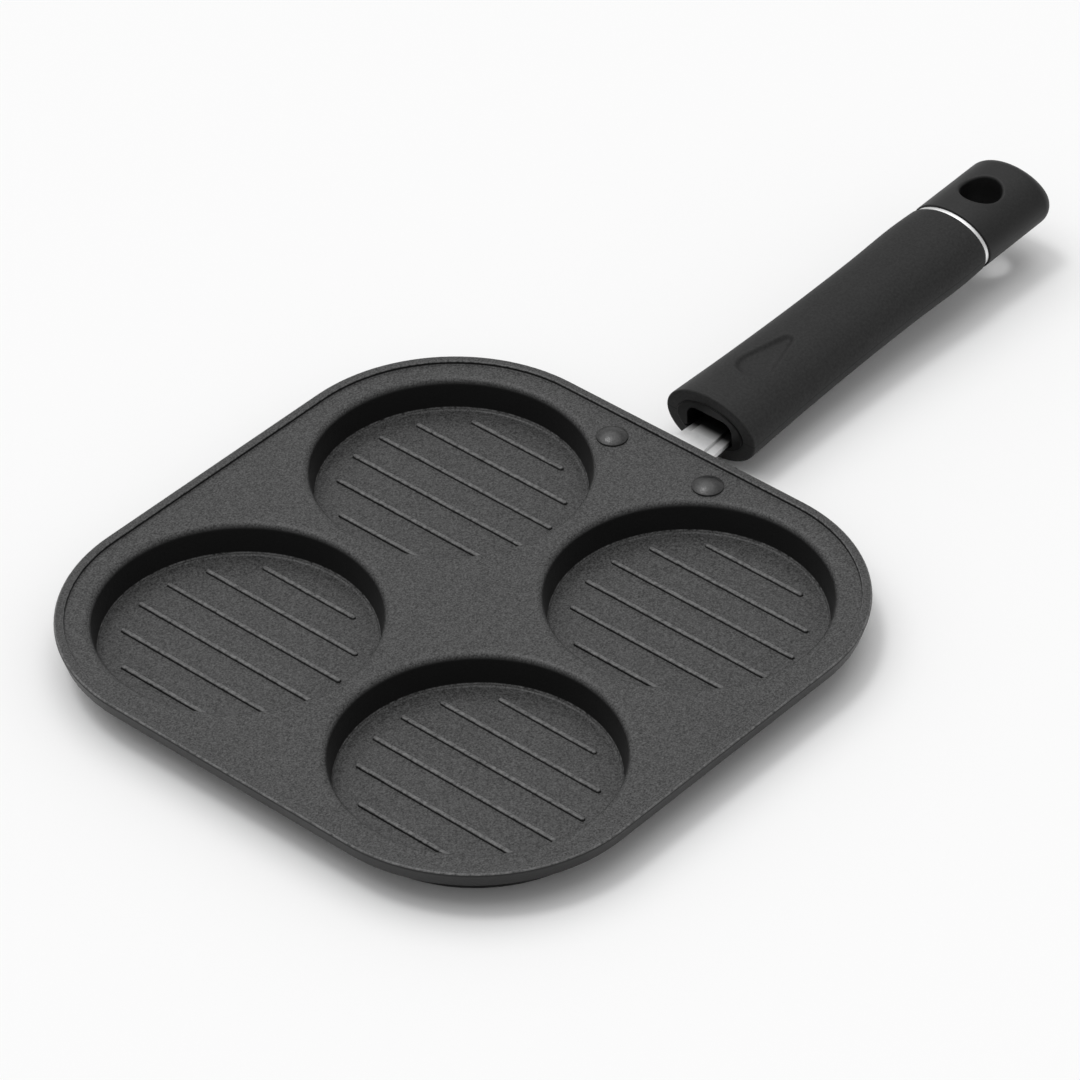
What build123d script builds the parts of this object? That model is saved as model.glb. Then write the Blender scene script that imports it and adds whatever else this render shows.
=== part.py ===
"""Mini uttapam pan: a cast pan with four ribbed round cavities and a riveted soft-grip handle.

Sizes are millimetres. +X runs along the handle, +Y to the left and +Z up. The pan stands on the
bottoms of its four cups at z = 0, and the origin is under the middle of the overall length.
Everything on the handle is placed by its distance from the grip's front face, along an axis that
rises gently from the pan.
"""

import os
from math import cos, radians, sin, sqrt, tan

from build123d import *

# Pan casting
cavity_radius = 46.4  # at the deck, before the lip is rounded
cavity_gap = 8.2  # between neighbouring cavities, at the deck
cavity_depth = 11.3
cavity_draft = 8.0  # degrees
edge_margin = 12.2  # cavity to the plate's outer edge
corner_ease = 0.9  # corner radius over that of a corner concentric with its cavity
rim_width = 3.5
rim_rise = 1.3  # rim above the deck
rim_round = 0.9
rim_step_round = 0.5
skirt_height = 5.8
skirt_draft = 17.0  # degrees
skirt_wall = 2.6
deck_thickness = 2.6
lip_round = 2.6
floor_round = 1.2
cup_wall = 2.8
cup_base = 3.2
cup_foot_round = 2.5
rib_count = 6
rib_width = 1.9
rib_height = 0.9
rib_draft = 25.0  # degrees
rib_inset = 5.4  # edge of the cavity's floor to the rib tips
rib_end_length = 40.2  # of the outermost ribs

# Rivets
rivet_inset = 13.1  # from the plate's outer edge
rivet_cup_gap = 5.4  # cup's outside to a rivet's middle
rivet_head_radius = 5.3
rivet_head_edge = 0.5
rivet_head_height = 2.3
rivet_shank_radius = 2.4
rivet_tail_radius = 4.0
rivet_tail_height = 1.5
rivet_hole_clearance = 0.1

# Handle bracket, stamped sheet
sheet = 1.6
saddle_lap = 8.0  # rivets to the saddle's inner edge
saddle_side_lap = 6.7  # rivets to the saddle's ends
saddle_cup_clearance = 0.5
saddle_skirt_clearance = 0.6
saddle_corner = 2.0
tongue_half_width = 8.7  # at the pan
tongue_tip_half_width = 7.8  # from the grip's front face on
crown_half_width = 5.25  # the raised middle of the tongue, at the pan
crown_tip_half_width = 4.5
crown_step = 1.2  # crown above the flanges
crown_step_run = 2.2
tongue_bend_gap = 4.6  # plate's edge to the bend
tongue_reach = 34.0  # past the grip's front face
tongue_slot = 13.0  # fork for the threaded bush
notch_clearance = 0.35

# Handle axis
face_gap = 12.5  # plate's edge to the grip's front face
axis_below_deck = 0.4  # at the front face
handle_tilt = 2.6  # degrees

# Grip sleeve
grip_length = 126.8
front_half_width = 18.7
front_half_height = 12.1
shoulder_half_width = 17.5
shoulder_half_height = 11.6
waist_half_width = 16.7
waist_half_height = 11.3
heel_half_width = 17.25
heel_half_height = 11.5
end_half_width = 16.8
end_half_height = 11.2
shoulder_station = 28.0
waist_start = 62.0
waist_stop = 35.0  # before the grip's end
heel_stop = 12.0  # before the grip's end
sleeve_side_wall = 4.8
sleeve_top_wall = 3.9
sleeve_fit = 0.1
grip_front_round = 1.2
grip_end_round = 1.4
dent_wide_station = 23.7
dent_tip_station = 40.2
dent_wide_radius = 6.3
dent_tip_radius = 2.0
dent_depth = 1.3
dent_draft = 30.0  # degrees

# Handle core
collar_height = 0.4  # proud of the grip's front face
collar_round = 0.3
mouth_half_width = 9.5
mouth_above_axis = 4.8
mouth_below_tongue = 0.5
mouth_top_corner = 4.0
mouth_corner = 1.8
mouth_depth = 8.0
socket_fit = 0.25  # round the tongue
socket_clearance = 1.4  # past the bush
spigot_half_width = 11.2
spigot_half_height = 6.9
spigot_length = 7.6
spigot_fit = 0.12

# Trim ring and end cap
ring_width = 1.6
ring_inset = 0.6  # below the cap's surface
ring_round = 0.3
seam = 0.1  # between ring, grip and cap
cap_half_width = 16.7
cap_half_height = 11.3
cap_length = 37.9
cap_nose_length = 7.0  # the domed end
cap_nose_inset = 8.4  # from the cap's sides at its very end
cap_tip_half_height = 1.6
cap_nose_steps = 5
cap_front_round = 0.4
hang_hole_radius = 7.2
hang_hole_inset = 21.8  # from the cap's end
hang_hole_lip = 1.0

# Tie screw, washers and threaded bush
screw_radius = 2.4
screw_clearance = 0.3
screw_head_radius = 4.5
screw_head_height = 3.0
screw_slot_width = 1.2
screw_slot_depth = 1.4
screw_engagement = 10.0  # thread in the bush
screw_seat_depth = 7.0  # from the spigot's end
bush_radius = 4.0
bush_overhang = 1.1  # past the tongue's tip
bush_bore_clearance = 0.1
bush_weld_clearance = 0.1
bush_passage_clearance = 0.4
washer_radius = 4.9
washer_thickness = 1.0
lock_washer_radius = 4.3
lock_washer_thickness = 1.2
lock_washer_gap = 1.4
counterbore_clearance = 0.4

# Levels and places worked out from the sizes above
deck_z = cup_base + cavity_depth
rim_z = deck_z + rim_rise
skirt_z = rim_z - skirt_height
under_z = deck_z - deck_thickness
floor_z = cup_base
cavity_pitch = 2 * cavity_radius + cavity_gap
cup_radius = cavity_radius + cup_wall
plate_half = cavity_pitch / 2 + cavity_radius + edge_margin  # centre to outer edge
plate_corner = cavity_radius + edge_margin + corner_ease
skirt_slope = radians(skirt_draft)
outline_half = plate_half - rim_round * (tan(skirt_slope) + 1 / cos(skirt_slope) - 1)  # at the rounding
skirt_foot_half = plate_half - skirt_height * tan(skirt_slope)
pocket_half = skirt_foot_half - skirt_wall
pocket_corner = plate_corner - (plate_half - pocket_half)
rib_reach = cavity_radius - cavity_depth * tan(radians(cavity_draft)) - floor_round - rib_inset
rib_pitch = 2 * sqrt(rib_reach**2 - (rib_end_length / 2) ** 2) / (rib_count - 1)

rivet_from_centre = plate_half - rivet_inset
rivet_past_cup = rivet_from_centre - cavity_pitch / 2
rivet_half_spacing = cavity_pitch / 2 - sqrt((cup_radius + rivet_cup_gap) ** 2 - rivet_past_cup**2)
rivet_hole_radius = rivet_shank_radius + rivet_hole_clearance

rise_x = cos(radians(handle_tilt))
rise_z = sin(radians(handle_tilt))
axis_z = deck_z - axis_below_deck
face_from_centre = plate_half + face_gap
saddle_end = pocket_half - saddle_skirt_clearance
tongue_bend = plate_half + tongue_bend_gap
tongue_tip = face_from_centre + tongue_reach * rise_x
crown_drop = (axis_z - under_z) * rise_x - (face_from_centre - tongue_bend) * rise_z  # below the axis
tongue_bottom = crown_drop + crown_step + sheet
bush_start = tongue_reach - tongue_slot + bush_weld_clearance
bush_end = tongue_reach + bush_overhang

ring_station = grip_length + seam
cap_station = ring_station + ring_width + seam
cap_end_station = cap_station + cap_length
hang_hole_station = cap_end_station - hang_hole_inset
spigot_end = grip_length + spigot_length
screw_passage = screw_radius + screw_clearance
counterbore_radius = washer_radius + counterbore_clearance
seat_station = spigot_end - screw_seat_depth
head_station = seat_station + washer_thickness + lock_washer_thickness

handle_end = face_from_centre + cap_end_station * rise_x + cap_tip_half_height * rise_z
pan_x = (outline_half - handle_end) / 2  # pan's centre, with the origin under the mid-length
rivet_x = pan_x + rivet_from_centre
face_x = pan_x + face_from_centre


def level(z):
    """A horizontal plane centred on the pan."""
    return Plane((pan_x, 0, z))


def station(s):
    """The plane square to the handle's axis, s from the grip's front face, with local Y up."""
    return Plane((face_x + s * rise_x, 0, axis_z + s * rise_z), (0, 1, 0), (rise_x, 0, rise_z))


def along(height):
    """The plane that lies along the handle's axis, raised by height, with local X along the axis."""
    base = Plane((face_x, 0, axis_z), (rise_x, 0, rise_z), (-rise_z, 0, rise_x))
    return base.offset(height)


side_view = Plane((pan_x, 0, 0), (1, 0, 0), (0, -1, 0))  # local Y up, from the pan's centre


def circles(part):
    """The full circles among a part's edges."""
    return part.edges().filter_by(GeomType.CIRCLE).filter_by(lambda edge: edge.is_closed)


def at_level(shapes, z):
    """Those of the shapes that lie at the level nearest to a height z."""
    return min(shapes.group_by(Axis.Z), key=lambda group: abs(group[0].center().Z - z))


def oval(s, half_width, half_height):
    """An oval section of the handle."""
    with BuildSketch(station(s)) as section:
        Ellipse(half_width, half_height)
    return section.sketch


def grip_sections(side_inset, top_inset):
    """The grip's sections from its front face to the ring, drawn in at the sides and at the top."""
    sizes = (
        (0, front_half_width, front_half_height),
        (shoulder_station, shoulder_half_width, shoulder_half_height),
        (waist_start, waist_half_width, waist_half_height),
        (grip_length - waist_stop, waist_half_width, waist_half_height),
        (grip_length - heel_stop, heel_half_width, heel_half_height),
        (grip_length, end_half_width, end_half_height),
    )
    return [oval(s, width - side_inset, height - top_inset) for s, width, height in sizes]


def nose_sections():
    """The cap's sections along its domed end, following a quarter of an ellipse."""
    angles = [radians(90 * step / cap_nose_steps) for step in range(cap_nose_steps + 1)]
    drop = cap_half_height - cap_tip_half_height
    return [
        oval(
            cap_end_station - cap_nose_length * (1 - sin(angle)),
            cap_half_width - cap_nose_inset * (1 - cos(angle)),
            cap_half_height - drop * (1 - cos(angle)),
        )
        for angle in angles
    ]


def strip(step, depth=0):
    """The side view of the bent sheet: its top depth below the plate, stepping down past the saddle."""
    top = under_z - depth
    rise = (tongue_tip - tongue_bend) * tan(radians(handle_tilt))
    with BuildSketch(side_view) as profile:
        with BuildLine():
            Polyline(
                (rivet_from_centre, top),
                (saddle_end, top),
                (saddle_end + crown_step_run, top - step),
                (tongue_bend, top - step),
                (tongue_tip, top - step + rise),
            )
            offset(amount=sheet, side=Side.RIGHT)
        make_face()
    return profile.sketch


def tongue_plan(pan_half, tip_half):
    """The tongue seen from above, pan_half to each side at the pan and tip_half in the handle."""
    with BuildSketch(level(0)) as plan:
        with BuildLine():
            Polyline(
                (rivet_from_centre, -pan_half),
                (plate_half, -pan_half),
                (face_from_centre, -tip_half),
                (tongue_tip, -tip_half),
                (tongue_tip, tip_half),
                (face_from_centre, tip_half),
                (plate_half, pan_half),
                (rivet_from_centre, pan_half),
                close=True,
            )
        make_face()
    return plan.sketch


# Pan body: plate with a raised rim and a drafted skirt, four cups below it, ribs in the cavities
with BuildPart() as pan_body:
    with BuildSketch(level(rim_z)):
        RectangleRounded(2 * plate_half, 2 * plate_half, plate_corner)
    extrude(amount=-skirt_height, taper=skirt_draft)
    fillet(pan_body.faces().sort_by(Axis.Z)[-1].edges(), rim_round)
    with BuildSketch(level(deck_z)):
        deck_half = plate_half - rim_width
        RectangleRounded(2 * deck_half, 2 * deck_half, plate_corner - rim_width)
    extrude(amount=2 * rim_rise, mode=Mode.SUBTRACT)
    rim_top = pan_body.faces().sort_by(Axis.Z)[-1]
    fillet(rim_top.inner_wires()[0].edges(), rim_step_round)
    with BuildSketch(level(skirt_z)):
        RectangleRounded(2 * pocket_half, 2 * pocket_half, pocket_corner)
    extrude(amount=under_z - skirt_z, mode=Mode.SUBTRACT)
    with BuildSketch(level(under_z)):
        with GridLocations(cavity_pitch, cavity_pitch, 2, 2):
            Circle(cup_radius)
    extrude(amount=-under_z, taper=cavity_draft)
    fillet(at_level(circles(pan_body), 0), cup_foot_round)
    with BuildSketch(level(deck_z)):
        with GridLocations(cavity_pitch, cavity_pitch, 2, 2):
            Circle(cavity_radius)
    extrude(amount=-cavity_depth, taper=cavity_draft, mode=Mode.SUBTRACT)
    fillet(at_level(circles(pan_body), deck_z), lip_round)
    fillet(at_level(circles(pan_body), floor_z), floor_round)
    for index in range(rib_count):
        across = (index - (rib_count - 1) / 2) * rib_pitch
        length = 2 * sqrt(rib_reach**2 - across**2)
        with BuildSketch(level(floor_z)):
            with GridLocations(cavity_pitch, cavity_pitch, 2, 2):
                with Locations((across, 0)):
                    SlotOverall(length, rib_width, rotation=90)
        extrude(amount=rib_height, taper=rib_draft)
    with BuildSketch(level(deck_z)):
        with Locations((rivet_from_centre, rivet_half_spacing), (rivet_from_centre, -rivet_half_spacing)):
            Circle(rivet_hole_radius)
    extrude(amount=-deck_thickness, mode=Mode.SUBTRACT)
    with BuildSketch(level(skirt_z)):
        with Locations((saddle_end, 0)):
            notch_width = 2 * (tongue_half_width + notch_clearance)
            Rectangle(plate_half, notch_width, align=(Align.MIN, Align.CENTER))
    extrude(amount=under_z - skirt_z, mode=Mode.SUBTRACT)

# Handle bracket: saddle under the deck, and a tongue with a raised crown that enters the handle
with BuildPart() as handle_bracket:
    extrude(strip(0), amount=crown_half_width, both=True)
    extrude(tongue_plan(crown_half_width, crown_tip_half_width), amount=rim_z, mode=Mode.INTERSECT)
    extrude(strip(crown_step), amount=tongue_half_width, both=True)
    extrude(tongue_plan(tongue_half_width, tongue_tip_half_width), amount=rim_z, mode=Mode.INTERSECT)
    extrude(strip(0, sheet), amount=crown_tip_half_width - sheet, both=True, mode=Mode.SUBTRACT)
    with BuildSketch(level(under_z)) as saddle:
        with Locations((saddle_end, 0)):
            saddle_length = saddle_end - rivet_from_centre + saddle_lap
            saddle_width = 2 * (rivet_half_spacing + saddle_side_lap)
            Rectangle(saddle_length, saddle_width, align=(Align.MAX, Align.CENTER))
        fillet(saddle.vertices().group_by(Axis.X)[-1], saddle_corner)
        with GridLocations(cavity_pitch, cavity_pitch, 2, 2):
            Circle(cup_radius + saddle_cup_clearance, mode=Mode.SUBTRACT)
    extrude(amount=-sheet)
    with BuildSketch(level(under_z)):
        with Locations((rivet_from_centre, rivet_half_spacing), (rivet_from_centre, -rivet_half_spacing)):
            Circle(rivet_hole_radius)
    extrude(amount=-sheet, mode=Mode.SUBTRACT)
    with BuildSketch(along(0)):
        with Locations((tongue_reach, 0)):
            half_fork = sqrt(bush_radius**2 - crown_drop**2) + bush_weld_clearance
            Rectangle(2 * tongue_slot, 2 * half_fork)
    extrude(amount=cap_half_height, both=True, mode=Mode.SUBTRACT)

# Rivets: domed heads on the deck, shanks through deck and saddle, tails formed below
rivets = {}
for name, side in (("rivet_left", 1), ("rivet_right", -1)):
    axis = Plane((rivet_x, side * rivet_half_spacing, 0), (1, 0, 0), (0, -1, 0))
    with BuildPart() as rivet:
        with BuildSketch(axis):
            with BuildLine():
                tail_z = under_z - sheet
                shoulder = (rivet_head_radius, deck_z + rivet_head_edge)
                dome = TangentArc((0, deck_z + rivet_head_height), shoulder, tangent=(1, 0))
                Polyline(
                    dome @ 1,
                    (rivet_head_radius, deck_z),
                    (rivet_shank_radius, deck_z),
                    (rivet_shank_radius, tail_z),
                    (rivet_tail_radius, tail_z),
                    (rivet_tail_radius, tail_z - rivet_tail_height),
                    (0, tail_z - rivet_tail_height),
                    dome @ 0,
                )
            make_face()
        revolve(axis=Axis(axis.origin, (0, 0, 1)))
        fillet(rivet.edges().group_by(Axis.Z)[0], rivet_tail_height / 2)
    rivets[name] = rivet.part

# Threaded bush, welded in the tongue's fork
with BuildPart() as threaded_bush:
    with BuildSketch(station(bush_start)):
        Circle(bush_radius)
        Circle(screw_radius + bush_bore_clearance, mode=Mode.SUBTRACT)
    extrude(amount=bush_end - bush_start)

# Handle core: hard moulding with the socket in front and the spigot behind
with BuildPart() as handle_core:
    core_sections = grip_sections(sleeve_side_wall + sleeve_fit, sleeve_top_wall + sleeve_fit)
    loft(core_sections)
    extrude(core_sections[0], amount=-collar_height)
    fillet(handle_core.edges().sort_by(Axis.X)[0], collar_round)
    with BuildSketch(station(grip_length)):
        Ellipse(spigot_half_width, spigot_half_height)
    extrude(amount=spigot_length)
    with BuildSketch(station(-collar_height)) as mouth:
        mouth_below_axis = tongue_bottom + mouth_below_tongue
        with Locations((0, -mouth_below_axis)):
            mouth_height = mouth_above_axis + mouth_below_axis
            Rectangle(2 * mouth_half_width, mouth_height, align=(Align.CENTER, Align.MIN))
        fillet(mouth.vertices().group_by(Axis.Y)[0], mouth_corner)
        fillet(mouth.vertices().group_by(Axis.Y)[-1], mouth_top_corner)
    extrude(amount=mouth_depth, mode=Mode.SUBTRACT)
    with BuildSketch(station(0)):
        Circle(bush_radius + bush_passage_clearance)
        with Locations((0, -(crown_drop + tongue_bottom) / 2)):
            fitted_height = tongue_bottom - crown_drop + 2 * socket_fit
            Rectangle(2 * (tongue_tip_half_width + socket_fit), fitted_height)
    extrude(amount=bush_end + socket_clearance, mode=Mode.SUBTRACT)
    with BuildSketch(station(spigot_end)):
        Circle(screw_passage)
    extrude(amount=-spigot_end, mode=Mode.SUBTRACT)
    with BuildSketch(station(spigot_end)):
        Circle(counterbore_radius)
    extrude(amount=-screw_seat_depth, mode=Mode.SUBTRACT)

# Grip sleeve: soft skin over the core, waisted, with a teardrop thumb dent on top
with BuildPart() as grip_sleeve:
    loft(grip_sections(0, 0))
    fillet(grip_sleeve.edges().sort_by(Axis.X)[0], grip_front_round)
    fillet(grip_sleeve.edges().sort_by(Axis.X)[-1], grip_end_round)
    loft(grip_sections(sleeve_side_wall, sleeve_top_wall), mode=Mode.SUBTRACT)
    with BuildSketch(along(shoulder_half_height - dent_depth)):
        with Locations((dent_wide_station, 0)):
            Circle(dent_wide_radius)
        with Locations((dent_tip_station, 0)):
            Circle(dent_tip_radius)
        make_hull()
    extrude(amount=2 * dent_depth, taper=-dent_draft, mode=Mode.SUBTRACT)

# Trim ring, held on the spigot between grip and cap
with BuildPart() as trim_ring:
    with BuildSketch(station(ring_station)):
        Ellipse(cap_half_width - ring_inset, cap_half_height - ring_inset)
    extrude(amount=ring_width)
    fillet(trim_ring.edges(), ring_round)
    with BuildSketch(station(ring_station)):
        Ellipse(spigot_half_width + spigot_fit, spigot_half_height + spigot_fit)
    extrude(amount=ring_width, mode=Mode.SUBTRACT)

# End cap: domed end, hang hole, and a pocket that is pressed on the spigot
with BuildPart() as end_cap:
    with BuildSketch(station(cap_station)):
        Ellipse(cap_half_width, cap_half_height)
    extrude(amount=cap_length - cap_nose_length)
    fillet(end_cap.edges().sort_by(Axis.X)[0], cap_front_round)
    loft(nose_sections())
    with BuildSketch(station(cap_station)):
        Ellipse(spigot_half_width + spigot_fit, spigot_half_height + spigot_fit)
    extrude(amount=spigot_end + seam - cap_station, mode=Mode.SUBTRACT)
    before = end_cap.edges()
    with BuildSketch(along(0)):
        with Locations((hang_hole_station, 0)):
            Circle(hang_hole_radius)
    extrude(amount=cap_half_height, both=True, mode=Mode.SUBTRACT)
    lips = (end_cap.edges() - before).filter_by(GeomType.LINE, reverse=True)
    fillet(lips, hang_hole_lip)

# Tie screw with its washers: seats in the spigot and draws the handle onto the tongue
with BuildPart() as plain_washer:
    with BuildSketch(station(seat_station)):
        Circle(washer_radius)
        Circle(screw_passage, mode=Mode.SUBTRACT)
    extrude(amount=washer_thickness)

with BuildPart() as lock_washer:
    with BuildSketch(station(seat_station + washer_thickness)):
        Circle(lock_washer_radius)
        Circle(screw_radius + screw_clearance / 2, mode=Mode.SUBTRACT)
        with Locations((0, lock_washer_radius)):
            Rectangle(lock_washer_gap, 2 * (lock_washer_radius - screw_radius), mode=Mode.SUBTRACT)
    extrude(amount=lock_washer_thickness)

with BuildPart() as tie_screw:
    with BuildSketch(station(head_station)):
        Circle(screw_head_radius)
    extrude(amount=screw_head_height)
    fillet(tie_screw.edges().sort_by(Axis.X)[-1], screw_head_height / 3)
    with BuildSketch(station(head_station + screw_head_height)):
        Rectangle(screw_slot_width, 2 * screw_head_radius)
    extrude(amount=-screw_slot_depth, mode=Mode.SUBTRACT)
    with BuildSketch(station(head_station)):
        Circle(screw_radius)
    extrude(amount=bush_end - screw_engagement - head_station)

pieces = {
    "pan_body": pan_body.part,
    "handle_bracket": handle_bracket.part,
    **rivets,
    "threaded_bush": threaded_bush.part,
    "handle_core": handle_core.part,
    "grip_sleeve": grip_sleeve.part,
    "trim_ring": trim_ring.part,
    "end_cap": end_cap.part,
    "tie_screw": tie_screw.part,
    "plain_washer": plain_washer.part,
    "lock_washer": lock_washer.part,
}
os.makedirs("parts", exist_ok=True)
for name, piece in pieces.items():
    piece.label = name
    export_step(piece, f"parts/{name}.step")
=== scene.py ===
# %% [markdown]
# # A mini uttapam pan with a soft-grip handle
# This lesson dresses a measured model of a cast pan. The pan has four shallow round cavities with
# ribs on their floors, and a handle that is riveted on with a steel bracket. The measured parts
# are loaded first and stay where they are. Each part that shows gets a finer shape of the same
# size, and every part gets a finish made of shader nodes.

from math import cos, pi, radians, sin, sqrt, tan

import bmesh
import bpy
from mathutils import Matrix, Vector


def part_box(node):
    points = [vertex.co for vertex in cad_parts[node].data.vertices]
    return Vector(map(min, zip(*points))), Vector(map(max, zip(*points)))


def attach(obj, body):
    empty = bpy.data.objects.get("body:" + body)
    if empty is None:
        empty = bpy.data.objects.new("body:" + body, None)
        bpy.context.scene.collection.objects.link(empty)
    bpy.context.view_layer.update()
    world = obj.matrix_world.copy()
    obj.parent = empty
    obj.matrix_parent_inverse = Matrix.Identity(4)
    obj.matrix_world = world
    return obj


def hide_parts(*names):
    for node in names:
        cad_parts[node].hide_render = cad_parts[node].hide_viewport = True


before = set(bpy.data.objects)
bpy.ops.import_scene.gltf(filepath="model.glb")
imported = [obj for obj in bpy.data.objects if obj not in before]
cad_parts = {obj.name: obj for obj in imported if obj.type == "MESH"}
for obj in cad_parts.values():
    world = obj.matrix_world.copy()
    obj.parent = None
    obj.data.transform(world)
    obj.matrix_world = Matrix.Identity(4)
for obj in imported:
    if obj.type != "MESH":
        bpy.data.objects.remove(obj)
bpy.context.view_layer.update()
pan_low, pan_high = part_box("pan_body")
pan_x = (pan_low.x + pan_high.x) / 2
print("pan's centre at x =", round(pan_x, 5), "and its top at z =", round(pan_high.z, 4))

# %% [markdown]
# ## Bench tools: choosing and editing
# Every piece is shaped the way one would do it by hand: start from a primitive, go into edit
# mode, choose faces or edges, and push them about with inset, extrude and resize. An operator
# works on everything that is selected, so the first tool clears the selection, and another
# chooses parts of a mesh by a test. Sizes are written in millimetres, and MM turns them into
# Blender's metres.

# %% Choosing and editing
MM = 0.001


def clear():
    bpy.ops.object.select_all(action="DESELECT")


def take(*objects):
    """Chooses these objects and no others, the first as the active one."""
    clear()
    for item in objects:
        item.select_set(True)
    bpy.context.view_layer.objects.active = objects[0]


def edit(item, mode="FACE", whole=False):
    """Goes into edit mode with nothing of the mesh chosen, or with the whole of it."""
    take(item)
    bpy.ops.object.mode_set(mode="EDIT")
    bpy.ops.mesh.select_mode(type=mode)
    bpy.ops.mesh.select_all(action="SELECT" if whole else "DESELECT")


def leave():
    bpy.ops.object.mode_set(mode="OBJECT")


def choose(item, kind, test):
    """In edit mode, selects the verts, edges or faces of a mesh that pass a test."""
    mesh = bmesh.from_edit_mesh(item.data)
    for part in getattr(mesh, kind):
        part.select_set(bool(test(part)))
    mesh.select_flush_mode()
    bmesh.update_edit_mesh(item.data)


print("one millimetre is", MM, "in the scene")

# %% [markdown]
# ## Bench tools: copies, joins and cuts
# What repeats is modelled once and copied, and the parts of one casting are joined. A modifier is
# applied at once, so that plain mesh is left. A finished mesh holds its place in its own points,
# while its object stays at the origin.

# %% Copies, joins and modifiers
def fresh(name):
    """Names the object that an operator has just made."""
    item = bpy.context.active_object
    item.name = item.data.name = name
    return item


def settle():
    """Writes the chosen object's place, turn and scale into its mesh."""
    bpy.ops.object.transform_apply(location=True, rotation=True, scale=True)


def copy_of(item, name, shift):
    """A copy with its own mesh, moved by shift."""
    take(item)
    bpy.ops.object.duplicate(linked=False)
    twin = fresh(name)
    bpy.ops.transform.translate(value=shift)
    settle()
    return twin


def join(first, *others):
    take(first, *others)
    bpy.ops.object.join()
    return first


def apply(item, kind, **settings):
    """Adds a modifier with its settings and applies it."""
    take(item)
    modifier = item.modifiers.new(kind.title(), kind)
    for key, value in settings.items():
        setattr(modifier, key, value)
    bpy.ops.object.modifier_apply(modifier=modifier.name)


def cut(item, tool):
    """Cuts the shape of a tool out of an item, and throws the tool away."""
    apply(item, "BOOLEAN", operation="DIFFERENCE", solver="EXACT", object=tool)
    bpy.data.objects.remove(tool)


print("the measured model has", len(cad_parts), "parts")

# %% [markdown]
# ## Bench tools: a sound, smooth mesh
# A mesh that was joined or carried round has doubled points, and faces that may look inwards, so it
# is welded. Smooth shading hides the facets, and weighted normals keep the large flats flat. The
# last tool prints the size of each piece and counts the edges that are still open.

# %% Welding and shading
double_gap = 0.002
sharp_angle = 35
flat_weight = 60


def weld(item):
    """Merges doubled points and turns all faces outwards."""
    edit(item, whole=True)
    bpy.ops.mesh.remove_doubles(threshold=double_gap * MM)
    bpy.ops.mesh.normals_make_consistent(inside=False)
    leave()


def open_edges(item):
    """How many edges of a mesh don't have exactly two faces."""
    mesh = bmesh.new()
    mesh.from_mesh(item.data)
    count = sum(1 for edge in mesh.edges if not edge.is_manifold)
    mesh.free()
    return count


def smooth(item, angle=sharp_angle):
    """Smooth shading whose flats stay flat, with the edges above an angle kept sharp."""
    take(item)
    bpy.ops.object.shade_smooth_by_angle(angle=radians(angle))
    apply(item, "WEIGHTED_NORMAL", keep_sharp=True, weight=flat_weight)
    triangles = sum(len(face.vertices) - 2 for face in item.data.polygons)
    size = [round(length / MM, 1) for length in item.dimensions]
    print(f"{item.name}: {triangles} triangles, {size} mm, {open_edges(item)} open edges")


print("points closer than", double_gap, "mm are merged")

# %% [markdown]
# ## Profiles
# A casting, a turned part or a moulding is mostly one profile carried round an outline. The tool
# below takes the corners of such a profile, each with its rounding, and gives points along it.

# %% Rounded profiles
def rounded(corners, parts=5):
    """Points through (radius, height, rounding) corners, with an arc at each rounded one."""
    points = []
    for index, (r, z, rounding) in enumerate(corners):
        here = Vector((r, z))
        if not rounding:
            points.append(here)
            continue
        back = (Vector(corners[index - 1][:2]) - here).normalized()
        on = (Vector(corners[index + 1][:2]) - here).normalized()
        half = back.angle(on) / 2
        centre = here + (back + on).normalized() * rounding / sin(half)
        first = here + back * rounding / tan(half) - centre
        last = here + on * rounding / tan(half) - centre
        for step in range(parts + 1):
            part = step / parts
            turn = pi - 2 * half
            spoke = (first * sin((1 - part) * turn) + last * sin(part * turn)) / sin(turn)
            points.append(centre + spoke)
    return points


def quarter(radius, steps=5):
    """(distance from the end, inset) round the edge of an end face, from the face outwards."""
    turns = [radians(90 - 90 * step / steps) for step in range(steps + 1)]
    return [(radius * (1 - sin(turn)), radius * (1 - cos(turn))) for turn in turns]


sample = [tuple(round(value, 2) for value in point) for point in quarter(1.0, 2)]
print("a 1 mm edge in two steps runs through", sample)

# %% [markdown]
# ## Moulding
# The next tool carries a profile round: starting at a flat face, each step insets the face a
# little and moves it up or down, which leaves one ring of surface behind. A face that looks down
# is moulded downwards, so its heights are turned round.

# %% Moulding from a flat face
shortest_step = 1e-4
disc_vertices = 128


def mould(points, facing=1):
    """Carries a profile inwards from the chosen face; facing is -1 for one that looks down."""
    for before, after in zip(points, points[1:]):
        step = after - before
        if step.length > shortest_step:
            bpy.ops.mesh.inset(thickness=max(0, -step.x) * MM, depth=facing * step.y * MM)


def disc(name, radius, height, facing=1):
    """A round flat face at the origin, in edit mode and chosen, looking up or down."""
    clear()
    bpy.ops.mesh.primitive_circle_add(
        vertices=disc_vertices, radius=radius * MM, fill_type="NGON",
        location=(0, 0, height * MM),
    )
    item = fresh(name)
    settle()
    edit(item, whole=True)
    if facing < 0:
        bpy.ops.mesh.flip_normals()
    return item


# %% [markdown]
# ## The cast pan: one cavity
# On the real pan a cavity is a drafted round pocket in the casting, with a generous lip, a small
# rounding round its floor, and a cup below it that the pan stands on. A disc is moulded down the
# inside, another down the outside. Only one cavity is made; the four of the pan are its copies.

# %% Cavity and cup
deck_z = 14.5
under_z = 11.9
floor_z = 3.2
draft = tan(radians(8))
cavity_radius, lip_round = 46.4, 2.6
floor_round, floor_margin = 1.2, 1.6
cup_radius, cup_shoulder, shoulder_round = 49.2, 1.0, 0.8
foot_round, foot_margin = 2.5, 3.5


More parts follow.
